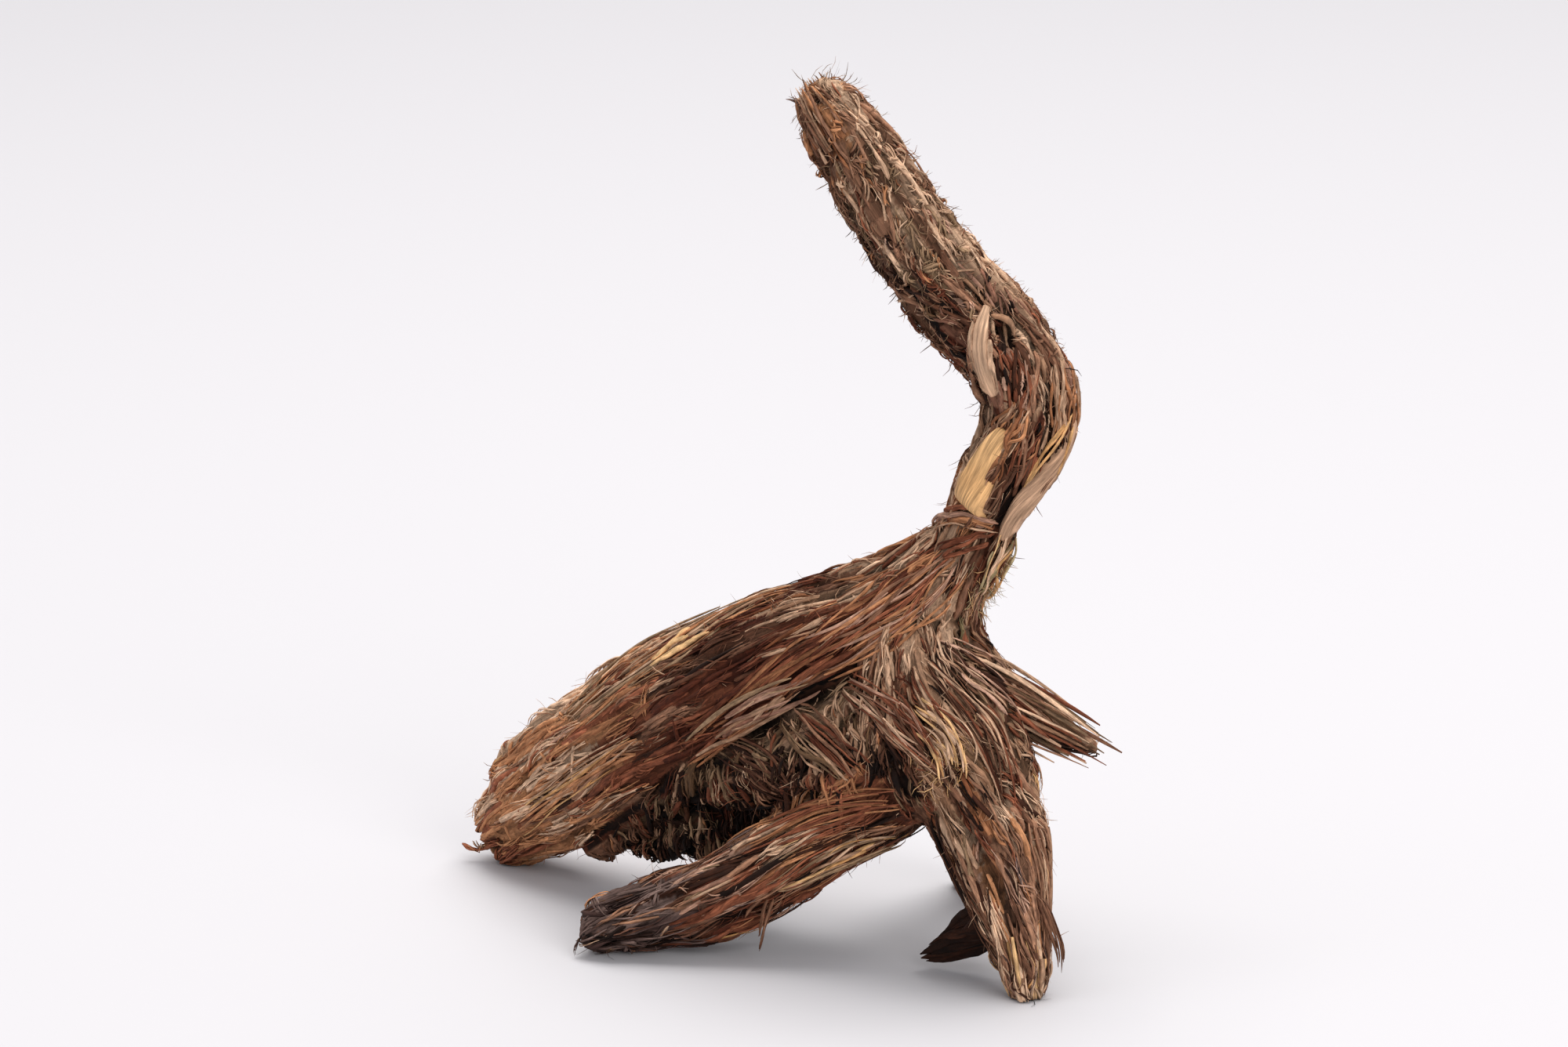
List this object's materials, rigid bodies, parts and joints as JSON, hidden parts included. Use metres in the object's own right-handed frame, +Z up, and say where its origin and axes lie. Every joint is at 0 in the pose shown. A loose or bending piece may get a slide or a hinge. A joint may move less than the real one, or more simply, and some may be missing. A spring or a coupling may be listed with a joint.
{
  "type": "jatamansi root",
  "caption": "Dried forked root with a bent woolly stem, a long fibrous side root and short feet that it stands on.",
  "frame": {"origin": "on the floor, at the middle of the footprint's bounding box", "axes": "+Z up, towards the end of the stem; -X towards the long root's end; -Y towards the side that shows the front foot"},
  "size_m": [0.0628, 0.0487, 0.0814],
  "materials": {
    "fibrous_bark": "dry, matt, fibrous",
    "bare_wood": "dry, satin, split along the grain"
  },
  "bodies": {
    "root": {"rhizome": "fibrous_bark"}
  },
  "joints": []
}
